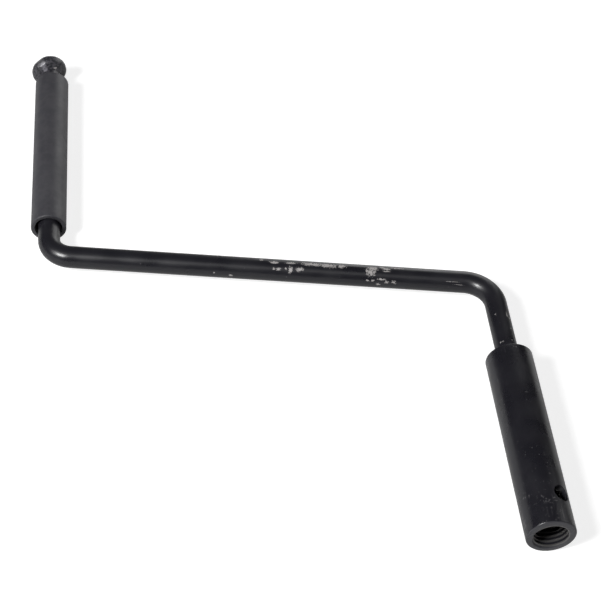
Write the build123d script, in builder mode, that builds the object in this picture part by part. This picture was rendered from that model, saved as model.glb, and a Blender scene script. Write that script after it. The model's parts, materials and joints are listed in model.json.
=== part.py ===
from build123d import *
import math
import os

os.makedirs("parts", exist_ok=True)

# The crank lies flat: +Y runs along the drive socket away from its mouth, the arm reaches out to -X,
# +Z is up, and the origin is the centre of the socket's mouth. All sizes are in millimetres.

# Cranked bar
bar_diameter = 12.0
arm_length = 241.1  # between the two corners of the bar's centreline
arm_slant = 7.15  # degrees that the arm leans past square to the legs
socket_bend_radius = 17.2  # centreline
grip_bend_radius = 13.2  # centreline
grip_leg_length = 155.9  # grip corner to the middle of the head

# Upset head on the end of the grip leg
head_diameter = 20.9
head_thickness = 11.9
head_rim_radius = 4.0
head_offset = 0.45  # the forged head sits a little to one side of the bar

# Drive socket, turned from round bar
socket_diameter = 25.0
socket_length = 112.3
socket_reach = 166.6  # mouth to the corner of the bar's centreline
mouth_edge_radius = 0.8
back_edge_radius = 0.4
thread_minor_diameter = 17.3  # tapping bore of a 20 mm thread with 2.5 mm pitch
thread_bore_depth = 50.0
drill_point_angle = 118.0
bar_seat_depth = 20.0
bar_seat_clearance = 0.05  # radial, filled by the brazing

# Cross hole for the locking pin
pin_hole_diameter = 9.0
pin_hole_setback = 18.0  # mouth to the middle of the hole
pin_hole_turn = 34.0  # degrees from straight up, towards +X

# Grip sleeve, a plain tube that turns on the grip leg
grip_play = 1.6  # radial, between the bar and the sleeve
grip_wall = 2.1
grip_length = 122.7
grip_start = 21.8  # grip corner to the near end of the sleeve
grip_edge_radius = 0.5
grip_near_shift = -0.2  # share of the play that each end lies to one side of the bar
grip_far_shift = 0.75
grip_most_drop = 0.6  # share of the play that the sleeve can hang below the bar

# The socket and the head both rest on the ground, so the bar slopes by their difference in radius.
arm_reach = arm_length * math.cos(math.radians(arm_slant))
head_drop = (socket_diameter - head_diameter) / 2
slope = math.asin(head_drop / arm_reach)
bar_plane = Plane(
    origin=(0, 0, 0),
    x_dir=(math.cos(slope), 0, math.sin(slope)),
    z_dir=(-math.sin(slope), 0, math.cos(slope)),
)
grip_corner_y = socket_reach + arm_length * math.sin(math.radians(arm_slant))
bar_end_y = socket_length - bar_seat_depth

# The head is a lens with a round rim: each dome meets the rim in a tangent.
head_middle_x = -arm_reach - head_offset
head_middle_y = grip_corner_y + grip_leg_length
head_rim_offset = head_diameter / 2 - head_rim_radius
head_dome_radius = (head_rim_offset**2 + head_thickness**2 / 4 - head_rim_radius**2) / (
    head_thickness - 2 * head_rim_radius
)
head_rim_angle = math.degrees(math.atan2(head_dome_radius - head_thickness / 2, head_rim_offset))

# Cranked bar: one round bar, bent twice and upset at the free end
with BuildPart() as crank_rod:
    with BuildLine(bar_plane) as centreline:
        FilletPolyline(
            (0, bar_end_y),
            (0, socket_reach),
            (-arm_reach, grip_corner_y),
            (-arm_reach, head_middle_y),
            radius=[socket_bend_radius, grip_bend_radius],
        )
    bar_path = centreline.wires()[0]
    with BuildSketch(Plane(origin=bar_path @ 0, z_dir=bar_path % 0)):
        Circle(bar_diameter / 2)
    sweep(path=bar_path)

    with BuildSketch(bar_plane):
        with BuildLine():
            CenterArc(
                (head_middle_x, head_middle_y + head_dome_radius - head_thickness / 2),
                head_dome_radius,
                start_angle=-90,
                arc_size=90 - head_rim_angle,
            )
            CenterArc(
                (head_middle_x + head_rim_offset, head_middle_y),
                head_rim_radius,
                start_angle=-head_rim_angle,
                arc_size=2 * head_rim_angle,
            )
            CenterArc(
                (head_middle_x, head_middle_y - head_dome_radius + head_thickness / 2),
                head_dome_radius,
                start_angle=head_rim_angle,
                arc_size=90 - head_rim_angle,
            )
            Line(
                (head_middle_x, head_middle_y + head_thickness / 2),
                (head_middle_x, head_middle_y - head_thickness / 2),
            )
        make_face()
    head_axis = Axis(
        bar_plane.from_local_coords(Vector(head_middle_x, head_middle_y, 0)),
        bar_plane.y_dir,
    )
    revolve(axis=head_axis)

crank_rod.part.label = "crank_rod"

# Drive socket: tapped at the mouth, bored at the back for the bar, drilled across for the pin
with BuildPart() as drive_socket:
    with BuildSketch(Plane.YZ):
        with BuildLine():
            drill_point_length = thread_minor_diameter / 2 / math.tan(math.radians(drill_point_angle / 2))
            Polyline(
                (0, thread_minor_diameter / 2),
                (0, socket_diameter / 2),
                (socket_length, socket_diameter / 2),
                (socket_length, bar_diameter / 2 + bar_seat_clearance),
                (bar_end_y, bar_diameter / 2 + bar_seat_clearance),
                (bar_end_y, 0),
                (thread_bore_depth + drill_point_length, 0),
                (thread_bore_depth, thread_minor_diameter / 2),
                close=True,
            )
        make_face()
    revolve(axis=Axis.Y)
    outer_rims = drive_socket.edges().filter_by(GeomType.CIRCLE).filter_by(
        lambda edge: abs(edge.radius - socket_diameter / 2) < 0.01
    )
    fillet(outer_rims.sort_by(Axis.Y)[0], mouth_edge_radius)
    fillet(outer_rims.sort_by(Axis.Y)[-1], back_edge_radius)

    pin_turn = math.radians(pin_hole_turn)
    with BuildSketch(
        Plane(
            origin=(0, pin_hole_setback, 0),
            x_dir=(0, 1, 0),
            z_dir=(math.sin(pin_turn), 0, math.cos(pin_turn)),
        )
    ):
        Circle(pin_hole_diameter / 2)
    extrude(amount=socket_diameter, both=True, mode=Mode.SUBTRACT)

drive_socket.part.label = "drive_socket"

# Grip sleeve: a tube that is free on the grip leg, so it drops until it lies on the ground or hangs
# on the bar, and lies a little askew
grip_diameter = bar_diameter + 2 * (grip_play + grip_wall)
grip_drop = min((head_diameter - grip_diameter) / 2, grip_most_drop * grip_play)
grip_near_y = grip_corner_y + grip_start
grip_leg_x = -arm_reach * math.cos(slope)
grip_leg_z = -arm_reach * math.sin(slope)
grip_near = Vector(grip_leg_x + grip_near_shift * grip_play, grip_near_y, grip_leg_z - grip_drop)
grip_run = (grip_far_shift - grip_near_shift) * grip_play
grip_direction = Vector(grip_run, math.sqrt(grip_length**2 - grip_run**2), 0)
with BuildPart() as grip_sleeve:
    with BuildSketch(Plane(origin=grip_near, z_dir=grip_direction)):
        Circle(grip_diameter / 2)
        Circle(bar_diameter / 2 + grip_play, mode=Mode.SUBTRACT)
    extrude(amount=grip_length)
    rims = grip_sleeve.edges().filter_by(GeomType.CIRCLE).filter_by(
        lambda edge: abs(edge.radius - grip_diameter / 2) < 0.01
    )
    fillet(rims, grip_edge_radius)

grip_sleeve.part.label = "grip_sleeve"

export_step(crank_rod.part, "parts/crank_rod.step")
export_step(drive_socket.part, "parts/drive_socket.step")
export_step(grip_sleeve.part, "parts/grip_sleeve.step")
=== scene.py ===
import json
import math

import bmesh
import bpy
from mathutils import Matrix, Vector, noise


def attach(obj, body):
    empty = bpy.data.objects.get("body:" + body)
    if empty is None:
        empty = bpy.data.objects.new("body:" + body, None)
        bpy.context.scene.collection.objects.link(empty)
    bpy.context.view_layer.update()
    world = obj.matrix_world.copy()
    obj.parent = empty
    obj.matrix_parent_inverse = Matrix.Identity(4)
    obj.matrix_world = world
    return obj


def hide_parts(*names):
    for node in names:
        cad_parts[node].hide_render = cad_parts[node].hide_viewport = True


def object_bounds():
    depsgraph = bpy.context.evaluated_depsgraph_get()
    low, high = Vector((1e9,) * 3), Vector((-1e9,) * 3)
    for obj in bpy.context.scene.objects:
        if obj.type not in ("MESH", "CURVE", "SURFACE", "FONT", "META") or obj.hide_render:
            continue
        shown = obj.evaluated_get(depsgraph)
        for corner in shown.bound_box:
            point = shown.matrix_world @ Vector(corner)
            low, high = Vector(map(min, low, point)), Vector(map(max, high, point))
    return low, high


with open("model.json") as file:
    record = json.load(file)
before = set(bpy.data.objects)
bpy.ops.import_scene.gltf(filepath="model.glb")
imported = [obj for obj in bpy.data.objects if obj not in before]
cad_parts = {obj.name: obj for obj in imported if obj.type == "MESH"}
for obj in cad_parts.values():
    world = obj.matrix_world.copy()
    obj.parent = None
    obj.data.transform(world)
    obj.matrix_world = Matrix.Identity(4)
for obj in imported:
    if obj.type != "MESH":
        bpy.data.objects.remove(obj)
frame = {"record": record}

cad_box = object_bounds()
MM = 0.001

# ---------------------------------------------------------------------------------------------
# Crank bar. One length of 12 mm round steel bar, bent cold at two corners so that the grip leg
# and the socket leg run parallel. Its free end is upset hot into a lens-shaped head that keeps
# the grip on. The whole bar has a thin satin black paint, chipped to pale metal along the arm.

bar_radius = 6.0 * MM
arm_length = 241.1 * MM
arm_slant = math.radians(7.15)
socket_bend = 17.2 * MM
grip_bend = 13.2 * MM
grip_leg = 155.9 * MM
socket_reach = 166.6 * MM
seat_end = 92.3 * MM
head_radius = 10.45 * MM
head_half = 5.95 * MM
head_rim = 4.0 * MM
head_offset = 0.45 * MM
socket_radius = 12.5 * MM
bar_segments = 96
bend_steps = 28

turn = math.pi / 2 - arm_slant
arm_reach = arm_length * math.cos(arm_slant)
bar_slope = math.asin((socket_radius - head_radius) / arm_reach)
lay_flat = Matrix.Rotation(-bar_slope, 4, "Y")


def new_ring(bm, radius, segments, place):
    made = bmesh.ops.create_circle(bm, cap_ends=True, segments=segments, radius=radius, matrix=place)
    return list({edge for vert in made["verts"] for edge in vert.link_edges})


def draw_on(bm, ring, shift, steps):
    """Draws the open end of a tube straight on, in equal steps, and returns its new end."""
    for _ in range(steps):
        made = bmesh.ops.extrude_edge_only(bm, edges=ring)["geom"]
        verts = {item for item in made if isinstance(item, bmesh.types.BMVert)}
        bmesh.ops.translate(bm, verts=list(verts), vec=shift / steps)
        ring = [
            item
            for item in made
            if isinstance(item, bmesh.types.BMEdge) and item.verts[0] in verts and item.verts[1] in verts
        ]
    return ring


def bend_on(bm, ring, centre, angle, steps):
    """Draws the open end of a tube round a bend in the bar's plane, and returns its new end."""
    verts = {vert for edge in ring for vert in edge.verts}
    made = bmesh.ops.spin(
        bm,
        geom=ring + list(verts),
        cent=centre,
        axis=(0, 0, 1),
        dvec=(0, 0, 0),
        angle=angle,
        steps=steps,
        use_duplicate=False,
    )
    return [item for item in made["geom_last"] if isinstance(item, bmesh.types.BMEdge)]


def sweep_profile(bm, start, arcs):
    """Draws a chain of tangent arcs from a point, each given as its centre and its angle."""
    end = bm.verts.new(start)
    for centre, angle, steps in arcs:
        made = bmesh.ops.spin(
            bm,
            geom=[end],
            cent=centre,
            axis=(0, 0, 1),
            dvec=(0, 0, 0),
            angle=angle,
            steps=steps,
            use_duplicate=False,
        )
        end = next(item for item in made["geom_last"] if isinstance(item, bmesh.types.BMVert))


def turn_round(bm, centre, axis, segments):
    """Turns everything in the mesh once round an axis, like a part on a lathe."""
    bmesh.ops.spin(
        bm,
        geom=bm.verts[:] + bm.edges[:],
        cent=centre,
        axis=axis,
        dvec=(0, 0, 0),
        angle=2 * math.pi,
        steps=segments,
        use_merge=True,
        use_duplicate=False,
    )
    bmesh.ops.remove_doubles(bm, verts=bm.verts[:], dist=1e-7)
    bmesh.ops.recalc_face_normals(bm, faces=bm.faces[:])


def new_piece(name, bm, place):
    bmesh.ops.transform(bm, matrix=place, verts=bm.verts[:])
    mesh = bpy.data.meshes.new(name)
    bm.to_mesh(mesh)
    bm.free()
    piece = bpy.data.objects.new(name, mesh)
    bpy.context.scene.collection.objects.link(piece)
    return piece


def combine(piece, tool, operation):
    """Joins a tool shape to a piece or cuts it away, for good, and removes the tool."""
    step = piece.modifiers.new("combine", "BOOLEAN")
    step.object = tool
    step.operation = operation
    step.solver = "EXACT"
    view = bpy.context.evaluated_depsgraph_get()
    result = bpy.data.meshes.new_from_object(piece.evaluated_get(view), depsgraph=view)
    piece.modifiers.clear()
    old = piece.data
    piece.data = result
    result.name = old.name
    bpy.data.meshes.remove(old)
    bpy.data.objects.remove(tool)


def finish_faces(piece, material, sharp_degrees):
    mesh = piece.data
    mesh.materials.clear()
    mesh.materials.append(material)
    mesh.polygons.foreach_set("use_smooth", [True] * len(mesh.polygons))
    mesh.polygons.foreach_set("material_index", [0] * len(mesh.polygons))
    mesh.set_sharp_from_angle(angle=math.radians(sharp_degrees))


bm = bmesh.new()
pen = Vector((0, seat_end, 0))
ring = new_ring(bm, bar_radius, bar_segments, Matrix.Translation(pen) @ Matrix.Rotation(math.pi / 2, 4, "X"))

first_run = socket_reach - socket_bend * math.tan(turn / 2) - seat_end
ring = draw_on(bm, ring, Vector((0, first_run, 0)), 10)
pen.y += first_run
pivot = pen + Vector((-socket_bend, 0, 0))
ring = bend_on(bm, ring, pivot, turn, bend_steps)
along = Vector((-math.cos(arm_slant), math.sin(arm_slant), 0))
pen = pivot + Matrix.Rotation(turn, 3, "Z") @ (pen - pivot)

arm_run = arm_length - (socket_bend + grip_bend) * math.tan(turn / 2)
ring = draw_on(bm, ring, along * arm_run, 40)
pen += along * arm_run
pivot = pen + Vector((along.y, -along.x, 0)) * grip_bend
ring = bend_on(bm, ring, pivot, -turn, bend_steps)
pen = pivot + Matrix.Rotation(-turn, 3, "Z") @ (pen - pivot)

leg_run = grip_leg - grip_bend * math.tan(turn / 2)
ring = draw_on(bm, ring, Vector((0, leg_run, 0)), 20)
bmesh.ops.edgeloop_fill(bm, edges=ring)
bmesh.ops.recalc_face_normals(bm, faces=bm.faces[:])
crank_bar = new_piece("crank_bar", bm, lay_flat)

head_middle = pen + Vector((-head_offset, leg_run, 0))
rim_centre = head_radius - head_rim
dome = (rim_centre**2 + head_half**2 - head_rim**2) / (2 * (head_half - head_rim))
rim_angle = math.atan2(dome - head_half, rim_centre)
bm = bmesh.new()
sweep_profile(
    bm,
    Vector((0, -head_half, 0)),
    [
        (Vector((0, dome - head_half, 0)), math.pi / 2 - rim_angle, 32),
        (Vector((rim_centre, 0, 0)), 2 * rim_angle, 36),
        (Vector((0, head_half - dome, 0)), math.pi / 2 - rim_angle, 32),
    ],
)
head_segments = 192
turn_round(bm, (0, 0, 0), (0, 1, 0), head_segments)

# The hammer leaves the head tilted and uneven: two flattened places, a lap folded over its near
# face, a burr beside the lap and shallow lumps all over.
lap_radius = 7.7 * MM
lap_width = 0.35 * MM
lap_middle = 5  # degrees from the top of the head
lap_half_span = 25
fold_inset = 1.5 * MM
fold_width = 0.55 * MM
burr_middle = Vector((3.1, -4.9, 5.5)) * MM
burr_radius = 0.8 * MM
head_tilt = math.radians(12)
head_lift = 0.35 * MM
flat_places = (((-0.375, -0.568, 0.734), 0.40 * MM), ((-0.62, 0.30, 0.72), 0.65 * MM))
flatness = 0.85

for vert in bm.verts:
    out = vert.co
    spread = math.hypot(out.x, out.z)
    round_head = math.degrees(math.atan2(out.x, out.z))
    near = 1 if out.y < 0 else 0
    lap_place = lap_radius + 0.25 * MM * noise.noise(out * 400)
    lap_span = 1 / (1 + (abs(round_head - lap_middle) / lap_half_span) ** 6)
    lap = near * lap_span * math.exp(-(((spread - lap_place) / lap_width) ** 2))
    fold = near * lap_span * math.exp(-(((spread - lap_place + fold_inset) / fold_width) ** 2))
    burr = near * math.exp(-(((out - burr_middle).length / burr_radius) ** 2))
    lump = 0.5 + 0.5 * noise.noise(out * 300 + Vector((4, 1, 7)))
    dent = 0.5 + 0.5 * noise.noise(out * 750)
    shrink = (0.42 * lap + 0.16 * fold - 0.40 * burr + 0.14 * lump + 0.10 * dent) * MM
    vert.co = out * (1 - shrink / max(out.length, 4 * MM))
bmesh.ops.transform(bm, matrix=Matrix.Rotation(head_tilt, 4, "Z"), verts=bm.verts[:])
for flat_side, depth in flat_places:
    flat_side = Vector(flat_side).normalized()
    reach = max(vert.co.dot(flat_side) for vert in bm.verts) - depth
    for vert in bm.verts:
        over = vert.co.dot(flat_side) - reach
        if over > 0:
            vert.co -= flat_side * over * flatness
overhang = max(vert.co.y for vert in bm.verts) - head_half
settle = Vector((0, -max(0, overhang), head_lift))
bmesh.ops.translate(bm, verts=bm.verts[:], vec=head_middle + settle)
bar_head = new_piece("bar_head", bm, lay_flat)
combine(crank_bar, bar_head, "UNION")


def add_node(tree, kind, settings=(), **inputs):
    node = tree.nodes.new(kind)
    for name, value in dict(settings).items():
        setattr(node, name, value)
    for name, value in inputs.items():
        socket = node.inputs[int(name[1:])] if name[0] == "_" else node.inputs[name.replace("_", " ")]
        if isinstance(value, bpy.types.NodeSocket):
            tree.links.new(value, socket)
        else:
            socket.default_value = value
    return node


def add_math(tree, operation, *values):
    node = add_node(tree, "ShaderNodeMath", {"operation": operation})
    for socket, value in zip(node.inputs, values):
        if isinstance(value, bpy.types.NodeSocket):
            tree.links.new(value, socket)
        else:
            socket.default_value = value
    return node.outputs[0]


def add_noise(tree, place, scale, detail=3.0, roughness=0.5):
    return add_node(
        tree, "ShaderNodeTexNoise", Vector=place, Scale=scale, Detail=detail, Roughness=roughness
    ).outputs["Fac"]


def add_ramp(tree, value, low, high, first=0.0, last=1.0):
    """Maps low..high smoothly onto first..last."""
    return add_node(
        tree,
        "ShaderNodeMapRange",
        {"interpolation_type": "SMOOTHSTEP"},
        Value=value,
        From_Min=low,
        From_Max=high,
        To_Min=first,
        To_Max=last,
    ).outputs["Result"]


def add_mix(tree, amount, first, second):
    node = add_node(tree, "ShaderNodeMix", {"data_type": "RGBA"})
    for socket, value in zip((node.inputs[0], node.inputs[6], node.inputs[7]), (amount, first, second)):
        if isinstance(value, bpy.types.NodeSocket):
            tree.links.new(value, socket)
        else:
            socket.default_value = value
    return node.outputs[2]


def new_material(name):
    material = bpy.data.materials.new(name)
    material.use_nodes = True
    tree = material.node_tree
    shader = tree.nodes["Principled BSDF"]
    place = tree.nodes.new("ShaderNodeTexCoord").outputs["Object"]
    return material, tree, shader, place


# Bare spots on the arm: millimetres from the socket corner, degrees from the top towards the
# front, and half the length and half the width in millimetres.
bare_spots = (
    (151, 80, 0.5, 0.5),
    (142, 90, 1.1, 0.7),
    (126, -14, 0.9, 0.7),
    (119, 0, 2.4, 0.9),
    (110, -3, 2.8, 0.7),
    (119, 37, 0.6, 0.5),
    (116.5, 37, 1.4, 0.7),
    (112.5, 32, 0.6, 0.5),
    (110, 37, 1.1, 1.8),
    (105, 32, 1.8, 1.2),
    (99, -4, 4.6, 1.2),
    (90, -1, 5.6, 1.3),
    (82.5, -2, 2.2, 1.2),
    (65.5, 1, 2.6, 1.4),
    (66.5, 20, 2.3, 2.2),
    (60.5, -16, 1.6, 0.5),
    (58, -3, 2.4, 0.8),
    (52, -15, 4.5, 0.5),
    (57.5, 13, 1.8, 0.35),
    (68, 68, 0.9, 0.5),
    (65, 66, 1.0, 0.6),
    (62, 88, 1.1, 0.6),
    (60.5, 57, 2.0, 0.5),
    (57.5, 71, 1.1, 0.8),
    (53.5, 69, 1.1, 0.8),
    (22, 46, 3.2, 0.12),
    (18, 60, 2.6, 0.10),
)

# Specks on the socket leg: place in millimetres from the mouth's centre, and half the size.
leg_specks = (
    ((-3.9, 119.9, 4.6), (0.6, 0.4, 0.4)),
    ((-2.6, 120.1, 5.4), (0.5, 0.35, 0.35)),
    ((2.4, 120.8, 5.5), (0.7, 0.3, 0.3)),
    ((-3.2, 139.6, 5.1), (0.55, 0.45, 0.4)),
    ((3.0, 139.0, 5.2), (0.5, 1.6, 0.4)),
    ((4.1, 137.2, 4.4), (0.4, 1.2, 0.4)),
    ((3.4, 129.5, 4.9), (0.3, 0.5, 0.3)),
)
head_burr = ((-235.7, 348.2, 3.9), (1.1, 1.0, 0.6))
# Painted highlights on the head, grey patches where the key lamp's reflection falls: place in millimetres,
# and the radius of each.
head_highlight_places = (((-243.0, 348.3, 6.2), 2.3), ((-241.9, 347.2, 3.9), 2.0))

bar_paint, tree, shader, place = new_material("bar_paint")
corner = Vector((0, socket_reach, 0))
arm_place = add_node(
    tree,
    "ShaderNodeMapping",
    {"vector_type": "TEXTURE"},
    Vector=place,
    Location=corner,
    Rotation=(0, -bar_slope, -arm_slant),
).outputs[0]
nearest = 9.0
for along_arm, degrees, half_long, half_wide in bare_spots:
    round_bar = math.radians(degrees)
    spot = add_node(
        tree,
        "ShaderNodeMapping",
        {"vector_type": "TEXTURE"},
        Vector=arm_place,
        Location=(
            -along_arm * MM,
            -bar_radius * math.sin(round_bar),
            bar_radius * math.cos(round_bar),
        ),
        Scale=(half_long * MM, half_wide * MM, half_wide * MM),
    )
    reach = add_node(tree, "ShaderNodeVectorMath", {"operation": "LENGTH"}, _0=spot.outputs[0])
    nearest = add_math(tree, "MINIMUM", nearest, reach.outputs["Value"])
for middle, half_size in leg_specks + (head_burr,):
    spot = add_node(
        tree,
        "ShaderNodeMapping",
        {"vector_type": "TEXTURE"},
        Vector=place,
        Location=Vector(middle) * MM,
        Scale=Vector(half_size) * MM,
    )
    reach = add_node(tree, "ShaderNodeVectorMath", {"operation": "LENGTH"}, _0=spot.outputs[0])
    nearest = add_math(tree, "MINIMUM", nearest, reach.outputs["Value"])
ragged = add_noise(tree, place, 1250.0, 4.0, 0.75)
edge_wander = add_math(tree, "MULTIPLY", add_math(tree, "SUBTRACT", ragged, 0.47), 5.0)
bare = add_ramp(tree, add_math(tree, "ADD", nearest, edge_wander), 1.15, 0.85)
mottle = add_noise(tree, place, 60.0, 4.0)
grain = add_noise(tree, place, 900.0, 3.0)
lumps = add_noise(tree, place, 190.0, 3.0)
specks = add_ramp(tree, add_noise(tree, place, 650.0, 2.0), 0.735, 0.775)
paint = add_mix(tree, mottle, (0.0085, 0.0085, 0.0115, 1), (0.0160, 0.0155, 0.0195, 1))
paint = add_mix(tree, add_math(tree, "MULTIPLY", specks, 0.35), paint, (0.16, 0.155, 0.16, 1))
along_leg = add_node(tree, "ShaderNodeSeparateXYZ", _0=place).outputs["Y"]
on_head = add_ramp(tree, along_leg, 0.3435, 0.3455)
scuffed = add_mix(
    tree, add_ramp(tree, grain, 0.38, 0.62), (0.020, 0.020, 0.024, 1), (0.065, 0.063, 0.072, 1)
)
paint = add_mix(tree, on_head, paint, scuffed)
# Painted highlight: grey patches on the head, mottled by the grain, stand in for the key lamp's reflection.
for middle, radius in head_highlight_places:
    away = add_node(
        tree, "ShaderNodeVectorMath", {"operation": "DISTANCE"}, _0=place, _1=Vector(middle) * MM
    )
    head_highlight = add_ramp(tree, away.outputs["Value"], radius * MM, 0.5 * radius * MM)
    head_highlight = add_math(tree, "MULTIPLY", head_highlight, add_ramp(tree, grain, 0.32, 0.55, 0.25, 1.0))
    paint = add_mix(tree, head_highlight, paint, (0.17, 0.165, 0.185, 1))
metal = add_mix(tree, ragged, (0.20, 0.185, 0.18, 1), (0.52, 0.50, 0.495, 1))
tree.links.new(add_mix(tree, bare, paint, metal), shader.inputs["Base Color"])
gloss = add_ramp(tree, mottle, 0.3, 0.7, 0.26, 0.38)
gloss = add_math(tree, "ADD", gloss, add_math(tree, "MULTIPLY", bare, 0.18))
tree.links.new(gloss, shader.inputs["Roughness"])
height = add_math(tree, "ADD", add_math(tree, "MULTIPLY", grain, 0.12), lumps)
height = add_math(tree, "SUBTRACT", height, add_math(tree, "MULTIPLY", bare, 0.9))
bump = add_node(tree, "ShaderNodeBump", Strength=0.35, Distance=0.00012, Height=height)
tree.links.new(bump.outputs[0], shader.inputs["Normal"])

finish_faces(crank_bar, bar_paint, 40)
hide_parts("crank_rod")
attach(crank_bar, "crank")

# ---------------------------------------------------------------------------------------------
# Drive socket. A 25 mm steel bar turned square at both ends, bored at the back for the crank bar,
# which is brazed in, and tapped at the mouth with a coarse 20 mm thread. A 9 mm hole crosses it
# near the mouth for the locking pin. It is painted satin black. Its mouth face is painted lighter grey
# as painted light, and the bare thread crests are lighter still as painted highlight.

socket_length = 112.3 * MM
mouth_edge = 0.8 * MM
back_edge = 0.4 * MM
seat_radius = 6.05 * MM
thread_small = 8.65 * MM
thread_large = 10.0 * MM
thread_pitch = 2.5 * MM
thread_depth = 46.0 * MM
drill_radius = 8.4 * MM
drill_depth = 50.0 * MM
pin_radius = 4.5 * MM
pin_setback = 18.0 * MM
pin_turn = math.radians(34)
socket_segments = 192
drill_start = 30 * MM
drill_half_point = math.radians(59)
thread_start = math.radians(-28)
steps_a_turn = 96

bm = bmesh.new()
outline = [
    bm.verts.new(point)
    for point in (
        (0, 0, 0),
        (socket_radius, 0, 0),
        (socket_radius, socket_length, 0),
        (seat_radius, socket_length, 0),
        (seat_radius, seat_end, 0),
        (0, seat_end, 0),
    )
]
for first, second in zip(outline, outline[1:]):
    bm.edges.new((first, second))
bmesh.ops.bevel(
    bm, geom=[outline[1]], offset=mouth_edge, affect="VERTICES", segments=5, profile=0.5, material=-1
)
bmesh.ops.bevel(
    bm, geom=[outline[2]], offset=back_edge, affect="VERTICES", segments=4, profile=0.5, material=-1
)
turn_round(bm, (0, 0, 0), (0, 1, 0), socket_segments)
drive_socket = new_piece("socket_body", bm, Matrix.Identity(4))

# The tap: one turn of the thread's outline, wound on at the pitch, and cut square at both ends.
bm = bmesh.new()
tooth = [
    bm.verts.new((radius, along * thread_pitch - 3 * thread_pitch, 0))
    for along, radius in (
        (0.0, thread_small),
        (0.25, thread_small),
        (0.5625, thread_large),
        (0.6875, thread_large),
        (1.0, thread_small),
    )
]
for first, second in zip(tooth, tooth[1:]):
    bm.edges.new((first, second))
thread_turns = math.ceil(thread_depth / thread_pitch) + 4
bmesh.ops.spin(
    bm,
    geom=bm.verts[:] + bm.edges[:],
    cent=(0, 0, 0),
    axis=(0, 1, 0),
    dvec=(0, thread_pitch / steps_a_turn, 0),
    angle=2 * math.pi * thread_turns,
    steps=steps_a_turn * thread_turns,
    use_duplicate=False,
)
bmesh.ops.remove_doubles(bm, verts=bm.verts[:], dist=2e-6)
for height_cut, outwards in ((-1 * MM, -1), (thread_depth, 1)):
    bmesh.ops.bisect_plane(
        bm,
        geom=bm.verts[:] + bm.edges[:] + bm.faces[:],
        plane_co=(0, height_cut, 0),
        plane_no=(0, outwards, 0),
        clear_outer=True,
    )
bmesh.ops.holes_fill(bm, edges=[edge for edge in bm.edges if edge.is_boundary], sides=0)
bmesh.ops.recalc_face_normals(bm, faces=bm.faces[:])
tap = new_piece("tap", bm, Matrix.Rotation(thread_start, 4, "Y"))
combine(drive_socket, tap, "DIFFERENCE")

bm = bmesh.new()
outline = [
    bm.verts.new(point)
    for point in (
        (0, drill_start, 0),
        (drill_radius, drill_start, 0),
        (drill_radius, drill_depth, 0),
        (0, drill_depth + drill_radius / math.tan(drill_half_point), 0),
    )
]
for first, second in zip(outline, outline[1:]):
    bm.edges.new((first, second))
turn_round(bm, (0, 0, 0), (0, 1, 0), 96)
combine(drive_socket, new_piece("drill", bm, Matrix.Identity(4)), "DIFFERENCE")

bm = bmesh.new()
bmesh.ops.create_cone(
    bm,
    cap_ends=True,
    segments=96,
    radius1=pin_radius,
    radius2=pin_radius,
    depth=4 * socket_radius,
    matrix=Matrix.Translation((0, pin_setback, 0)) @ Matrix.Rotation(pin_turn, 4, "Y"),
)
combine(drive_socket, new_piece("pin_drill", bm, Matrix.Identity(4)), "DIFFERENCE")

socket_paint, tree, shader, place = new_material("socket_paint")
mottle = add_noise(tree, place, 70.0, 4.0)
grain = add_noise(tree, place, 900.0, 3.0)
lumps = add_noise(tree, place, 240.0, 3.0)
from_mouth = add_node(tree, "ShaderNodeSeparateXYZ", _0=place).outputs["Y"]
near_mouth = add_ramp(tree, from_mouth, 0.032, 0.004, 0.0, 0.09)
dots = add_math(tree, "ADD", add_noise(tree, place, 620.0, 3.0), near_mouth)
specks = add_ramp(tree, dots, 0.67, 0.73)
drawn_out = add_node(tree, "ShaderNodeMapping", Vector=place, Scale=(900, 45, 900)).outputs[0]
lines = add_math(tree, "ADD", add_noise(tree, drawn_out, 1.0, 2.0), near_mouth)
scratches = add_ramp(tree, lines, 0.69, 0.77)
patches = add_ramp(tree, add_noise(tree, place, 42.0, 2.0), 0.42, 0.58)
across = add_node(tree, "ShaderNodeVectorMath", {"operation": "MULTIPLY"}, _0=place, _1=(1, 0, 1))
from_axis = add_node(
    tree, "ShaderNodeVectorMath", {"operation": "LENGTH"}, _0=across.outputs[0]
).outputs["Value"]
outside = add_ramp(tree, from_axis, 0.0103, 0.0108)
marks = add_math(tree, "MULTIPLY", add_math(tree, "MAXIMUM", specks, scratches), patches)
marks = add_math(tree, "MULTIPLY", marks, outside)
# Painted light: the mouth's end face is coloured lighter grey where the front lamps fall on it.
end_face = add_ramp(tree, from_mouth, 0.0006, 0.0001)
# Bare steel on the thread crests, coloured lighter grey than it is as painted highlight for the bright crest
# lines.
crest = add_ramp(tree, from_axis, 0.0094, 0.0088)
paint = add_mix(tree, mottle, (0.0080, 0.0080, 0.0110, 1), (0.0145, 0.0140, 0.0180, 1))
paint = add_mix(tree, add_math(tree, "MULTIPLY", marks, 0.45), paint, (0.18, 0.175, 0.18, 1))
paint = add_mix(tree, add_math(tree, "MULTIPLY", end_face, 0.8), paint, (0.055, 0.055, 0.062, 1))
paint = add_mix(tree, add_math(tree, "MULTIPLY", crest, 0.8), paint, (0.19, 0.185, 0.18, 1))
tree.links.new(add_math(tree, "MULTIPLY", crest, 0.7), shader.inputs["Metallic"])
tree.links.new(paint, shader.inputs["Base Color"])
tree.links.new(add_ramp(tree, mottle, 0.3, 0.7, 0.24, 0.36), shader.inputs["Roughness"])
height = add_math(tree, "ADD", add_math(tree, "MULTIPLY", grain, 0.2), lumps)
height = add_math(tree, "SUBTRACT", height, add_math(tree, "MULTIPLY", marks, 0.3))
bump = add_node(tree, "ShaderNodeBump", Strength=0.30, Distance=0.00010, Height=height)
tree.links.new(bump.outputs[0], shader.inputs["Normal"])

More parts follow.
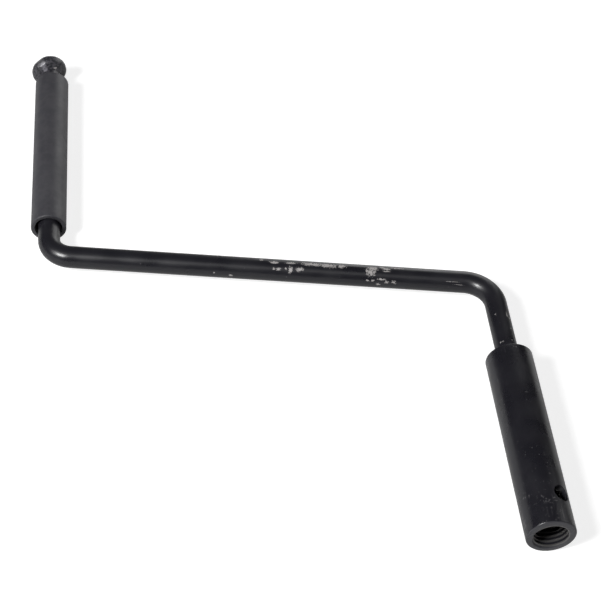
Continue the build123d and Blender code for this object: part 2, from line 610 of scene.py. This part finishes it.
finish_faces(drive_socket, socket_paint, 30)
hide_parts("drive_socket")
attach(drive_socket, "crank")

# ---------------------------------------------------------------------------------------------
# Grip sleeve. A plain steel tube, slipped over the grip leg before the head was forged, with a
# dull dark grey coating. It is loose on the bar, so it turns in the hand and lies a little askew.

grip_radius = 9.7 * MM
grip_bore = 7.6 * MM
grip_length = 122.7 * MM
grip_edge = 0.5 * MM
bore_edge = 0.2 * MM
grip_middle = (grip_radius + grip_bore) / 2
grip_segments = 160

spin_joint = next(joint for joint in frame["record"]["behaviour"]["joints"] if joint["name"] == "grip_spin")
grip_axis = Vector(spin_joint["axis"]).normalized()
grip_turn = -math.atan2(grip_axis.x, grip_axis.y)
grip_place = Matrix.Translation(spin_joint["pos_m"]) @ Matrix.Rotation(grip_turn, 4, "Z")

bm = bmesh.new()
bmesh.ops.create_grid(
    bm,
    x_segments=1,
    y_segments=24,
    size=0.5,
    matrix=Matrix.Translation((grip_middle, 0, 0))
    @ Matrix.Diagonal((grip_radius - grip_bore, grip_length, 1, 1)),
)
corners = [vert for vert in bm.verts if len(vert.link_edges) == 2 and vert.co.x > grip_middle]
bmesh.ops.bevel(
    bm, geom=corners, offset=grip_edge, affect="VERTICES", segments=5, profile=0.5, material=-1
)
corners = [vert for vert in bm.verts if len(vert.link_edges) == 2 and vert.co.x < grip_bore + 1e-6]
bmesh.ops.bevel(
    bm, geom=corners, offset=bore_edge, affect="VERTICES", segments=2, profile=0.5, material=-1
)
inside = [edge for edge in bm.edges if not edge.is_boundary]
bmesh.ops.delete(bm, geom=inside + bm.faces[:], context="EDGES_FACES")
turn_round(bm, (0, 0, 0), (0, 1, 0), grip_segments)
grip_tube = new_piece("grip_tube", bm, grip_place)

sleeve_paint, tree, shader, place = new_material("sleeve_paint")
mottle = add_noise(tree, place, 55.0, 4.0)
grain = add_noise(tree, place, 1100.0, 3.0)
lumps = add_noise(tree, place, 160.0, 3.0)
specks = add_ramp(tree, add_noise(tree, place, 480.0, 2.0), 0.72, 0.77)
paint = add_mix(tree, mottle, (0.034, 0.034, 0.040, 1), (0.052, 0.051, 0.058, 1))
smudge = add_ramp(tree, add_noise(tree, place, 210.0, 5.0, 0.65), 0.42, 0.60)
paint = add_mix(tree, add_math(tree, "MULTIPLY", smudge, 0.30), paint, (0.075, 0.073, 0.078, 1))
paint = add_mix(tree, add_math(tree, "MULTIPLY", specks, 0.25), paint, (0.17, 0.165, 0.17, 1))
tree.links.new(paint, shader.inputs["Base Color"])
tree.links.new(add_ramp(tree, mottle, 0.3, 0.7, 0.46, 0.56), shader.inputs["Roughness"])
height = add_math(tree, "ADD", add_math(tree, "MULTIPLY", grain, 0.3), lumps)
bump = add_node(tree, "ShaderNodeBump", Strength=0.25, Distance=0.00008, Height=height)
tree.links.new(bump.outputs[0], shader.inputs["Normal"])

finish_faces(grip_tube, sleeve_paint, 40)
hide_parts("grip_sleeve")
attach(grip_tube, "grip")

# ---------------------------------------------------------------------------------------------
# Studio. The crank lies on a pale table under a soft lamp from the left front, with weak ones
# overhead, on the right and behind the grip, and a pale screen standing low behind the table.

table_half = 3.0
table_gap = 0.2 * MM

bm = bmesh.new()
bmesh.ops.create_grid(
    bm,
    x_segments=1,
    y_segments=1,
    size=table_half,
    matrix=Matrix.Translation((0, 0, cad_box[0][2] - table_gap)),
)
table = new_piece("table", bm, Matrix.Identity(4))
table_top, tree, shader, place = new_material("table_top")
shader.inputs["Base Color"].default_value = (0.42, 0.42, 0.42, 1)
shader.inputs["Roughness"].default_value = 0.7
shader.inputs["Emission Color"].default_value = (1, 1, 1, 1)
seen = tree.nodes.new("ShaderNodeLightPath")
glow = add_math(tree, "MULTIPLY", seen.outputs["Is Camera Ray"], 0.78)
glow = add_math(tree, "ADD", glow, add_math(tree, "MULTIPLY", seen.outputs["Is Glossy Ray"], 0.20))
tree.links.new(glow, shader.inputs["Emission Strength"])
table.data.materials.append(table_top)

world = bpy.data.worlds.new("surround")
bpy.context.scene.world = world
world.use_nodes = True
tree = world.node_tree
backdrop = tree.nodes["Background"]
direction = tree.nodes.new("ShaderNodeTexCoord").outputs["Generated"]
parts = add_node(tree, "ShaderNodeSeparateXYZ", _0=direction).outputs
sideways = add_math(tree, "ABSOLUTE", parts["X"])
behind = add_math(
    tree, "MULTIPLY", add_ramp(tree, sideways, 0.62, 0.38), add_ramp(tree, parts["Y"], 0.20, 0.50)
)
screen = add_math(tree, "MULTIPLY", behind, add_ramp(tree, parts["Z"], 0.80, 0.50))
strength = add_math(tree, "ADD", add_math(tree, "MULTIPLY", screen, 1.0), 0.11)
tree.links.new(strength, backdrop.inputs["Strength"])


def add_lamp(name, towards, distance, size, power, middle=(-0.12, 0.17, 0)):
    lamp = bpy.data.lights.new(name, "AREA")
    lamp.shape = "DISK"
    lamp.size = size
    lamp.energy = power
    holder = bpy.data.objects.new(name, lamp)
    bpy.context.scene.collection.objects.link(holder)
    towards = Vector(towards).normalized()
    holder.location = Vector(middle) + towards * distance
    holder.rotation_euler = towards.to_track_quat("Z", "Y").to_euler()


add_lamp("key_lamp", (-0.60, -0.42, 0.68), 1.5, 0.38, 27)
add_lamp("fill_lamp", (0.0, -0.45, 0.87), 2.2, 1.1, 2.3)
add_lamp("side_lamp", (0.85, 0.10, 0.50), 1.8, 1.4, 5)
add_lamp("grip_lamp", (0.66, 0.72, 0.24), 0.5, 0.40, 0.75, middle=(-0.239, 0.30, 0))

camera = bpy.data.cameras.new("camera")
camera.lens = 97.87
camera.sensor_width = 36
camera.clip_start = 0.01
viewer = bpy.data.objects.new("camera", camera)
bpy.context.scene.collection.objects.link(viewer)
viewer.location = (-0.2112, -0.4368, 0.6474)
viewer.rotation_euler = tuple(math.radians(angle) for angle in (42.716, -4.226, -5.693))
bpy.context.scene.camera = viewer

bpy.context.scene.view_settings.view_transform = "Standard"
